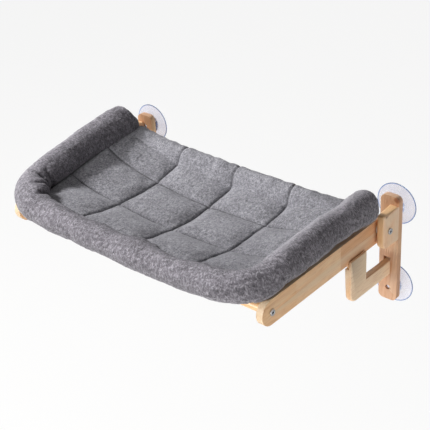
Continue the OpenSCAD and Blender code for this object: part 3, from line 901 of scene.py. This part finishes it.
# %% Shape the mat
MAT_STEP = 4.1 * MM
PANEL_RISE = 7.5 * MM
REAR_ROLL_R = 18 * MM
MAT_EDGE = 3 * MM
FRONT_LAP = 17 * MM
SEWN_THICK = 1.5 * MM
UNDER_ROLL = 0.5 * MM
SEAM_X = [x * MM for x in (-248, -124, 0, 124, 248)]
SEAM_Y = [y * MM for y in (-158, -254)]
SEAM_THICK = [high * MM for high in (21, 20, 14, 16, 17)]
REAR_ROLL_RISE = [high * MM for high in (22, 23, 29, 27, 26)]
REAR_FLATTEN = 26 * MM
REAR_FLATNESS = 0.85
DISH_POWER = 3.5
CLIMB_DEPTH = 0.6
MAT_SAMPLES = 320
ON_SEAM = 0.5 * MM
SWELLS_FROM = 0.3 * MM
mat_low, mat_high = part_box("mat")
mat_half = mat_high.x
dish_start_x = arm_rear_x - ROLL_R
roll_points = roll_line(np.linspace(-half_l, half_l, MAT_SAMPLES))


def grid_line(low, high, stops):
    """Evenly spaced places from low to high that also meet every stop."""
    marks = sorted({low, high, *stops})
    line = []
    for start, end in zip(marks, marks[1:]):
        steps = max(1, round((end - start) / MAT_STEP))
        line += list(np.linspace(start, end, steps + 1)[:-1])
    return np.array(line + [marks[-1]])


def dome(v):
    return np.sqrt(np.clip(4 * v * (1 - v), 0, 1))


def between(v, marks):
    """Share of the way between the two marks that lie round a place."""
    marks = np.array(sorted(marks))
    i = np.clip(np.searchsorted(marks, v, side="right") - 1, 0, len(marks) - 2)
    return np.clip((v - marks[i]) / (marks[i + 1] - marks[i]), 0, 1)


def nearest_seam(v, seams):
    return np.min([np.abs(v - seam) for seam in seams], axis=0)


def arm_foot_z(x, y):
    """Height of the roll's lower half beside a place, which the mat's sides climb to."""
    way = np.clip((y - corner_y) / (roll_rear_y - corner_y), 0, 1)
    return roll_line(np.sign(x) * (corner_x + corner_l + arm_l * way))[..., 2] - CLIMB_DEPTH * ROLL_R


def mat_top(x, y, rise):
    """Height of the mat's top before it swells."""
    over_bar = np.clip((y - mat_high.y + REAR_ROLL_R) / REAR_ROLL_R, -1, 1)
    rolled = np.interp(x, SEAM_X, REAR_ROLL_RISE) * np.sqrt(1 - over_bar ** 2)
    panels = dome(between(x, SEAM_X)) * dome(between(y, (mat_high.y, *SEAM_Y, mat_low.y)))
    panels = np.where(np.abs(x) > SEAM_X[-1], 0, panels)
    at_rear = smooth_step((y - mat_high.y + REAR_ROLL_R + REAR_FLATTEN) / REAR_FLATTEN)
    panels = panels * (1 - REAR_FLATNESS * at_rear)
    bed = sling_top(y) + SLEEVE_GAP + np.interp(x, SEAM_X, SEAM_THICK) + rise * panels + rolled
    side = np.clip(np.abs(x) / dish_start_x, 0, 1) ** DISH_POWER
    free = bed + (np.maximum(arm_foot_z(x, y), bed) - bed) * side
    reach = np.hypot(x[..., None] - roll_points[:, 0], y[..., None] - roll_points[:, 1])
    press_r = ROLL_R + UNDER_ROLL
    under = roll_points[:, 2] - np.sqrt(np.clip(press_r ** 2 - reach ** 2, 0, None))
    under = np.where(reach < press_r, under, np.inf).min(axis=-1)
    return np.maximum(np.minimum(free, under), mat_bottom(y) + SEWN_THICK)


def mat_bottom(y):
    over_front = np.sqrt(np.clip(sleeve_r ** 2 - (y - front_bar.y) ** 2, 0, None))
    over_front = np.where(np.abs(y - front_bar.y) < sleeve_r, front_bar.z + over_front, 0)
    return np.maximum(sling_top(y), over_front) + SLEEVE_GAP


def build_mat():
    """Two grids, the top and the bottom, joined by a strip of faces round their rim."""
    xs = grid_line(-mat_half, mat_half, SEAM_X)
    front_y = mat_low.y - FRONT_LAP
    ys = grid_line(front_y, mat_high.y, (*SEAM_Y, mat_low.y))
    inner_x = np.clip(xs, -mat_half + MAT_EDGE, mat_half - MAT_EDGE)
    inner_y = np.clip(ys, front_y + MAT_EDGE, mat_high.y - MAT_EDGE)
    gx, gy = np.meshgrid(inner_x, inner_y)
    top = np.stack([gx, gy, mat_top(gx, gy, PANEL_RISE)], axis=-1).reshape(-1, 3)
    low = np.stack([gx, gy, mat_bottom(gy)], axis=-1).reshape(-1, 3)
    wide, deep = len(xs), len(ys)
    size = wide * deep
    rim = list(range(wide)) + [(j + 1) * wide - 1 for j in range(1, deep)]
    rim += [(deep - 1) * wide + i for i in range(wide - 2, -1, -1)]
    rim += [j * wide for j in range(deep - 2, 0, -1)]
    gx, gy = np.meshgrid(xs, ys)
    middle = np.stack([gx.ravel(), gy.ravel(), (top[:, 2] + low[:, 2]) / 2], axis=-1)[rim]
    faces = []
    for quad in strip_faces(deep, wide):
        faces.append(quad)
        faces.append(tuple(size + v for v in reversed(quad)))
    for k, here in enumerate(rim):
        nearby = (k + 1) % len(rim)
        faces.append((here, 2 * size + k, 2 * size + nearby, rim[nearby]))
        faces.append((2 * size + k, size + here, size + rim[nearby], 2 * size + nearby))
    piece = mesh_piece("quilted_mat", np.concatenate([top, low, middle]), faces)
    x, y = top[:, 0], top[:, 1]
    on_seam = (nearest_seam(x, SEAM_X) < ON_SEAM) | (nearest_seam(y, SEAM_Y) < ON_SEAM)
    free = np.abs(mat_top(x, y, 0) - mat_top(x, y, PANEL_RISE)) > SWELLS_FROM
    sewn = np.ones(len(piece.data.vertices), bool)
    sewn[:size] = on_seam | ~free
    return piece, sewn


mat, sewn = build_mat()
moved = swell(mat, sewn, pressure=3, spare=0.012, cap=3 * MM)
subdivide_once(mat)
print("mat:", len(mat.data.vertices), "points, swollen by up to", round(moved / MM, 1), "mm")

# %% Press in the seams
LONG_SEAM_DEPTH = 3.6 * MM
CROSS_SEAM_DEPTH = 3.2 * MM
SEAM_WIDTH = 1.6 * MM
SEAM_SWAY = 1.3 * MM
UPPER_FROM = 3 * MM
REAR_LUMP_SIZE = 17 * MM
REAR_LUMP_HEIGHT = 2.2 * MM
SIDE_SHADE = 0.12
SIDE_SHADE_FADE = 60 * MM


def press_seams(piece):
    """Pulls narrow creases into the mat's top, and lets them wander a little."""
    points = points_of(piece.data)
    x, y, z = points.T
    upper = smooth_step((z - mat_bottom(y) - UPPER_FROM) / UPPER_FROM)
    long_seam = np.exp(-nearest_seam(x, SEAM_X) / SEAM_WIDTH)
    cross_seam = np.exp(-nearest_seam(y, SEAM_Y) / SEAM_WIDTH)
    cross_seam = cross_seam * (0.8 + 0.2 * np.sin(x / (21 * MM) + y / (33 * MM)))
    inside = 1 - np.clip(np.abs(x) / mat_half, 0, 1) ** 8
    points[:, 2] -= upper * (LONG_SEAM_DEPTH * long_seam + CROSS_SEAM_DEPTH * cross_seam)
    points[:, 0] += SEAM_SWAY * np.sin(y / (19 * MM) + np.round(x / SEAM_X[-1] * 2) * 1.7) * inside
    from_ends = np.sin(math.pi * between(y, (mat_low.y, mat_high.y)))
    points[:, 1] += SEAM_SWAY * np.sin(x / (27 * MM)) * from_ends
    store(piece, "nap", points)
    lumps = np.array([noise.noise(Vector(p) / REAR_LUMP_SIZE) for p in points])
    at_rear = smooth_step((y - mat_high.y + 3 * REAR_ROLL_R) / (2 * REAR_ROLL_R))
    points[:, 2] += REAR_LUMP_HEIGHT * lumps * at_rear * upper
    set_points(piece, points)
    # Painted shade in the seams' creases, weaker near the rear, and over the right column, whose slope
    # catches more light.
    long_shade = long_seam ** 1.6 * (1 - 0.45 * at_rear)
    shade = 0.95 * upper * np.maximum(long_shade, 0.8 * cross_seam ** 1.3)
    right_side = SIDE_SHADE * smooth_step((x - SEAM_X[3] + SIDE_SHADE_FADE / 3) / SIDE_SHADE_FADE)
    store(piece, "painted_shade", np.maximum(shade, right_side))


press_seams(mat)
print("seams pressed", LONG_SEAM_DEPTH / MM, "and", CROSS_SEAM_DEPTH / MM, "mm deep")

# %% [markdown]
# ## The canvas sling
#
# Under the mat a strip of strong canvas carries the load. Each end is folded round a dowel
# and sewn to itself, which leaves a sleeve that the dowel slides through. One path is drawn
# through the sleeve, the hanging curve and the other sleeve, swept sideways as flat cloth,
# and then given the thickness of the canvas. Its own map follows the cloth, so that the
# weave and the rows of stitches stay in line with it.

# %% Sweep the sling
CANVAS = 1.3 * MM
HEM = 14 * MM
HEM_GAP = 0.4 * MM
SEAM_FROM_BAR = 26 * MM
SLING_STEP = 8 * MM
SLEEVE_TUCK = 12 * MM
SLEEVE_STEPS = 26
HEM_STEPS = 5
HANG_STEPS = 60
SLEEVE_FROM = math.radians(-38)
SLEEVE_TO = math.radians(-270)


def sleeve_path(bar, toward):
    """Points from the hem's end, under the sling, round a dowel and up to its top."""
    loop_r = sleeve_r - CLOTH_THICK / 2
    angles = np.linspace(SLEEVE_FROM, SLEEVE_TO, SLEEVE_STEPS)
    ring_y = bar.y + toward * loop_r * np.cos(angles)
    ring_z = bar.z + loop_r * np.sin(angles)
    hem_y = bar.y + toward * np.linspace(SEAM_FROM_BAR + HEM, SEAM_FROM_BAR, HEM_STEPS)
    hem_z = sling_top(hem_y) - CLOTH_THICK / 2 - CANVAS - HEM_GAP
    return list(zip(hem_y, hem_z)) + list(zip(ring_y, ring_z))


def build_sling():
    rear = sleeve_path(rear_bar, -1)
    front = sleeve_path(front_bar, 1)
    across_y = np.linspace(rear_bar.y, front_bar.y, HANG_STEPS)[1:-1]
    across = list(zip(across_y, sling_top(across_y) - CLOTH_THICK / 2))
    path = np.array(rear + across + front[::-1])
    steps = np.linalg.norm(np.diff(path, axis=0), axis=1)
    length = np.concatenate([[0], np.cumsum(steps)])
    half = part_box("sling")[1].x - SLEEVE_TUCK
    xs = np.linspace(-half, half, round(2 * half / SLING_STEP) + 1)
    points = [(x, y, z) for y, z in path for x in xs]
    piece = mesh_piece("canvas_sling", points, strip_faces(len(path), len(xs)))
    cloth_map = piece.data.uv_layers.new(name="cloth")
    for loop in piece.data.loops:
        row, column = divmod(loop.vertex_index, len(xs))
        cloth_map.data[loop.index].uv = (xs[column] + half, length[row])
    modify(piece, "SOLIDIFY", thickness=CANVAS, offset=0)
    piece.data.shade_smooth()
    return piece, 2 * half, float(length[-1])


sling, sling_width, sling_length = build_sling()
print("sling cut", round(sling_width, 3), "by", round(sling_length, 3), "m")

# %% Canvas finish
THREAD = 1.6 * MM
STITCH = 3.2 * MM
STITCH_THICK = 0.5 * MM
STITCH_FROM_EDGE = 2 * MM
WAVE_SCALE = 0.314


def sewn_canvas(name, length):
    """Plain woven cotton canvas with two rows of lock stitch along each seam and hem."""
    material, add = new_material(name)
    cloth = add("UVMap", uv_map="cloth")
    parts = add("SeparateXYZ", cloth)

    def bands(way, pitch, bent):
        """Stripes across the cloth's map. The scale turns their pitch into the node's measure."""
        return add("TexWave", cloth, wave_type="BANDS", bands_direction=way, Scale=WAVE_SCALE / pitch,
                   Distortion=bent).outputs["Fac"]

    # Real threads are 0.5 mm apart. Here they are drawn three times coarser, so that they show.
    weave = add("Math", bands("X", THREAD, 0.6), bands("Y", THREAD, 0.6), operation="MULTIPLY")
    colour = add("ValToRGB", weave, stops=((0.0, "#232428"), (0.6, "#3C3D43"), (1.0, "#4B4C53")))
    dashes = add("Math", bands("X", STITCH, 0), 0.35, operation="GREATER_THAN")
    lines = 0
    for edge in (HEM / 2, HEM - STITCH_FROM_EDGE, length - HEM / 2, length - HEM + STITCH_FROM_EDGE):
        line = add("Math", parts.outputs["Y"], edge, STITCH_THICK, operation="COMPARE")
        lines = add("Math", lines, line, operation="MAXIMUM")
    stitches = add("Math", lines, dashes, operation="MULTIPLY")
    colour = add("Mix", stitches, colour, "#8C8D93", **TINTED)
    relief = add("Bump", Strength=0.6, Distance=0.4 * MM, Height=weave)
    shader = add("BsdfPrincipled", Base_Color=colour, Roughness=0.88, Normal=relief, Sheen_Weight=0.1)
    add("OutputMaterial", shader)
    return material


canvas = sewn_canvas("woven_cotton_canvas", sling_length)
finish_piece(sling, "seat", canvas, "sling")
print("canvas on", sling.name)

# %% [markdown]
# ## Plush
#
# The cover is a knitted polyester plush. Its pile is brushed one way and crushed in places,
# which makes soft light and dark clumps, and the tips of the pile catch light at a glancing
# angle. The mat's pile is short and even, the roll's is longer and curlier. Noise at two
# sizes draws the clumps and the tips, and sheen gives the pale edge. The stored depth of a
# fold, a seam's crease and faces that turn sideways get painted shade, and a crest gets a
# painted highlight.

# %% Plush finish
BRUSHED = (1, 0.42, 1)


def brushed_plush(name, dark, mid, light, clump, tuft, depth, painted_side_shade_level):
    """Knitted polyester plush. Clump and tuft are the sizes of crushed spots and of tufts.

    Faces that turn from up to sideways get painted shade, and the last argument is how much of the colour
    is left on a side.
    """
    material, add = new_material(name)
    # The nap map runs along the cloth, round it and out of it, and pile lies over round it.
    nap = add("Attribute", attribute_name="nap").outputs["Vector"]
    brushed = add("VectorMath", nap, BRUSHED, operation="MULTIPLY")
    clumps = add("TexNoise", nap, Scale=1 / clump, Detail=3, Roughness=0.6, Distortion=0.9)
    # Single threads are under 0.1 mm, so tufts are drawn ten times coarser to be seen.
    tufts = add("TexNoise", brushed, Scale=1 / tuft, Detail=3, Roughness=0.75, Distortion=1.0)
    pile = add("Mix", 0.62, clumps, tufts)
    colour = add("ValToRGB", pile, stops=((0.37, dark), (0.5, mid), (0.62, light)))
    patches = add("TexNoise", nap, Scale=1 / (9 * clump), Detail=1)
    colour = shade_by(add, colour, patches, ((0.35, 0.86), (0.62, 1)))
    # Painted shade on faces that turn from up to sideways.
    place = add("TexCoord")
    facing = add("SeparateXYZ", place.outputs["Normal"])
    colour = shade_by(add, colour, facing.outputs["Z"], ((0.1, painted_side_shade_level), (0.75, 1)))
    # Painted shade stored in folds, seams and some sides, and a painted highlight stored along a crest.
    for stored, tint in (("painted_shade", "#2B2A2E"), ("painted_crest_highlight", "#D9D6DC")):
        amount = add("Attribute", attribute_name=stored)
        colour = add("Mix", amount.outputs["Fac"], colour, tint, **TINTED)
    relief = add("Bump", Strength=0.9, Distance=depth, Height=pile)
    shader = add("BsdfPrincipled", Base_Color=colour, Roughness=0.95, Normal=relief,
                 Specular_IOR_Level=0.2, Sheen_Weight=0.6, Sheen_Roughness=0.4, Sheen_Tint="#D9D8DE")
    add("OutputMaterial", shader)
    return material


# The mat's tones are lighter than the roll's, partly as painted light on the mat's top.
mat_plush = brushed_plush("short_brushed_plush", "#67666C", "#95949A", "#C2C1C7",
                          4.4 * MM, 1.9 * MM, 1.6 * MM, painted_side_shade_level=0.92)
roll_plush = brushed_plush("curly_brushed_plush", "#524F53", "#817D84", "#B9B5BC",
                           6 * MM, 2.1 * MM, 2.4 * MM, painted_side_shade_level=0.82)
add_pile(mat, 4.5 * MM, 0.7 * MM)
add_pile(bolster, 6.5 * MM, 1.6 * MM)
finish_piece(mat, "seat", mat_plush, "mat")
finish_piece(bolster, "seat", roll_plush, "bolster")
print("plush on", mat.name, "and", bolster.name)

# %% [markdown]
# ## Suction cups
#
# Each cup is injection moulded from clear soft vinyl: a thin concave disc, a thick hub, and
# a mushroom button that snaps into the post. Every part of it is round about one axis, so a
# half outline is drawn once and spun. Clear vinyl is never quite colourless: the disc looks
# faintly milky, and its edge, seen end on, gathers a blue tint.

# %% Spin the cups
SPIN_STEPS = 72
CURVE_STEPS = 12
RIM_R = 37.5 * MM
RIM_THICK = 1.2 * MM
RIM_LIP = 2.5 * MM
RIM_TINT_FROM = 1.8 * MM
RIM_TINT_FADE = 1.2 * MM
SKIRT_R = RIM_R - 0.5 * MM
HOLLOW = 2.4 * MM
HUB_R = 19 * MM
HUB_TOP_R = 13.5 * MM
HUB_FOOT = 5.4 * MM
NECK_R = 3.5 * MM
BUTTON_R = 4.2 * MM
BUTTON_HIGH = 3 * MM
HUB_TINT = 0.7
HAZE_SIZE = 14 * MM


def spin_outline(name, outline, centre, axis):
    """Spins a half outline of (radius, distance along the axis) about an axis."""
    centre = Vector(centre)
    side = axis.orthogonal().normalized()
    points = [tuple(centre + side * r + axis * h) for r, h in outline]
    mesh = bpy.data.meshes.new(name)
    mesh.from_pydata(points, [(i, i + 1) for i in range(len(points) - 1)], [])
    piece = add_object(name, mesh)
    spin = {"steps": SPIN_STEPS, "angle": 2 * math.pi, "center": centre, "axis": axis}
    edit_whole(piece, (bpy.ops.mesh.spin, spin), MERGE_POINTS, FACE_OUTWARDS)
    bpy.ops.object.shade_smooth_by_angle(angle=SMOOTH_ANGLE)
    return piece


def cup_outline(length):
    """The cup's half outline from the middle of its hollow to the top of its button."""
    hollow = [(share * (RIM_R - RIM_LIP), HOLLOW * (1 - share ** 2))
              for share in np.linspace(0, 1, CURVE_STEPS)]
    rim = [(SKIRT_R, 0.02 * MM), (RIM_R, 0.4 * MM), (RIM_R, RIM_THICK - 0.3 * MM), (SKIRT_R, RIM_THICK)]
    skirt = [(SKIRT_R - (SKIRT_R - HUB_R) * share, RIM_THICK + (HUB_FOOT - RIM_THICK) * share ** 1.5)
             for share in np.linspace(0.08, 1, CURVE_STEPS)]
    seat_h = -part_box("post_left")[1].y
    button_h = length - BUTTON_HIGH
    hub = [(HUB_R - 1.2 * MM, HUB_FOOT + 1.5 * MM), (HUB_TOP_R + 1 * MM, seat_h - 1.2 * MM),
           (HUB_TOP_R, seat_h - 0.1 * MM), (NECK_R, seat_h - 0.1 * MM), (NECK_R, button_h),
           (BUTTON_R, button_h), (BUTTON_R, button_h + 0.6 * MM), (NECK_R, length - 0.3 * MM), (0, length)]
    return hollow + rim + skirt + hub


def moulded_vinyl(name):
    """Clear plasticised vinyl: milky in the mass, glossy, and bluish along its edge."""
    material, add = new_material(name)
    place = add("TexCoord")
    edge = add("Attribute", attribute_name="edge_tint")
    haze = add("TexNoise", place.outputs["Object"], Scale=1 / HAZE_SIZE, Detail=1)
    body = add("ValToRGB", haze, stops=((0.3, "#F4F3FD"), (0.7, "#FAF9FF")))
    colour = add("Mix", edge.outputs["Fac"], body, "#4E86D2", **TINTED)
    relief = add("Bump", Strength=0.1, Distance=0.2 * MM, Height=haze)
    shader = add("BsdfPrincipled", Base_Color=colour, Roughness=0.09, Normal=relief, IOR=1.53,
                 Transmission_Weight=0.82)
    add("OutputMaterial", shader)
    return material


vinyl = moulded_vinyl("moulded_clear_vinyl")
for level in ("upper", "lower"):
    for side in SIDES:
        node = f"cup_{level}_{side}"
        low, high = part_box(node)
        centre = middle_of(node) * Vector((1, 0, 1))
        cup = spin_outline(f"spun_{node}", cup_outline(high.y - low.y), centre, Vector((0, -1, 0)))
        points = points_of(cup.data)
        from_axis = np.hypot(points[:, 0] - centre[0], points[:, 2] - centre[2])
        rim_tint = smooth_step((from_axis - RIM_R + RIM_TINT_FROM) / RIM_TINT_FADE)
        hub_wall = (from_axis > NECK_R + MM) & (from_axis < HUB_R) & (points[:, 1] < -HUB_FOOT - MM)
        store(cup, "edge_tint", np.maximum(rim_tint, HUB_TINT * hub_wall))
        finish_piece(cup, "window_frame", vinyl, node)
print("four cups spun,", len(cup.data.polygons), "faces each")

# %% [markdown]
# ## Metal and small parts
#
# The pivot and front bolts are cold-headed steel with a hexagon socket, zinc plated, which
# leaves a cool grey with faint cloudy patches. The threaded inserts in the dowels are turned
# brass, the spacers are moulded nylon, and wooden pegs stop the supports. Their solids have
# the right shapes, so copies of them only get eased edges, and the hidden inserts keep the
# solid itself with a proper finish.

# %% Metal and nylon finishes
MARK_SIZE = 0.5 * MM
MOULD_GRAIN = 0.8 * MM


def plated_metal(name, dull, bright, rough, patch):
    """Metal with faint cloudy patches and fine marks from tumbling."""
    material, add = new_material(name)
    place = add("TexCoord")
    clouds = add("TexNoise", place.outputs["Object"], Scale=1 / patch, Detail=4)
    marks = add("TexNoise", place.outputs["Object"], Scale=1 / MARK_SIZE, Detail=2)
    colour = add("ValToRGB", clouds, stops=((0.35, dull), (0.65, bright)))
    gloss = add("ValToRGB", marks, stops=((0.3, rough), (0.7, rough + 0.16)))
    relief = add("Bump", Strength=0.15, Distance=0.1 * MM, Height=marks)
    shader = add("BsdfPrincipled", Base_Color=colour, Metallic=1.0, Roughness=gloss, Normal=relief)
    add("OutputMaterial", shader)
    return material


def moulded_nylon(name):
    """Natural nylon: off-white, slightly waxy, with the fine grain of its mould."""
    material, add = new_material(name)
    place = add("TexCoord")
    grain = add("TexNoise", place.outputs["Object"], Scale=1 / MOULD_GRAIN, Detail=3)
    colour = add("ValToRGB", grain, stops=((0.3, "#DDDCD6"), (0.7, "#EBEAE5")))
    relief = add("Bump", Strength=0.2, Distance=0.1 * MM, Height=grain)
    shader = add("BsdfPrincipled", Base_Color=colour, Roughness=0.5, Normal=relief, Subsurface_Weight=0.1,
                 Subsurface_Scale=2 * MM)
    add("OutputMaterial", shader)
    return material


steel = plated_metal("zinc_plated_steel", "#A9ADB3", "#D5D8DC", 0.26, 3 * MM)
brass = plated_metal("turned_brass", "#A8853F", "#C9A65A", 0.22, 4 * MM)
# A dark metal that paints shade deep in the bolts' sockets.
socket_painted_shade = plated_metal("painted_shade_in_socket", "#23262B", "#33373D", 0.5, 3 * MM)
nylon = moulded_nylon("moulded_natural_nylon")
print("mixed", steel.name, brass.name, socket_painted_shade.name, "and", nylon.name)

# %% Bolts, screws and small parts
SMALL_EASE = 0.45 * MM
SOCKET_FROM = 0.3 * MM
SOCKET_DEPTH = 2.2 * MM
SOCKET_R = 2.8 * MM


def darken_socket(bolt, side):
    """Faces deep in the driver's socket get a dark metal, which is painted shade."""
    bolt.data.materials.append(socket_painted_shade)
    outer = 1 if side == "right" else -1
    end = max(v.co.x * outer for v in bolt.data.vertices)
    axis = middle_of(bolt["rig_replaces"][0])
    for face in bolt.data.polygons:
        depth = end - face.center.x * outer
        reach = math.hypot(face.center.y - axis.y, face.center.z - axis.z)
        if SOCKET_FROM < depth < SOCKET_DEPTH and reach < SOCKET_R:
            face.material_index = 1


for part, body, slot, finish in (
    ("front_bolt", "seat", "steel", steel),
    ("pivot_bolt", "seat", "steel", steel),
    ("block_screw_upper", "window_frame", "steel", steel),
    ("block_screw_lower", "window_frame", "steel", steel),
    ("spacer", "seat", "nylon", nylon),
    ("stop_peg", "seat", "wood", dowel_wood),
):
    for side in SIDES:
        node = f"{part}_{side}"
        small = copy_solid(node, f"eased_{node}")
        ease_edges(small, SMALL_EASE, 2)
        finish_piece(small, body, finish, node)
        if "bolt" in part:
            darken_socket(small, side)
for place in ("front", "rear"):
    for side in SIDES:
        set_finish(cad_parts[f"{place}_insert_{side}"], brass)
print(len(made), "pieces made in all")
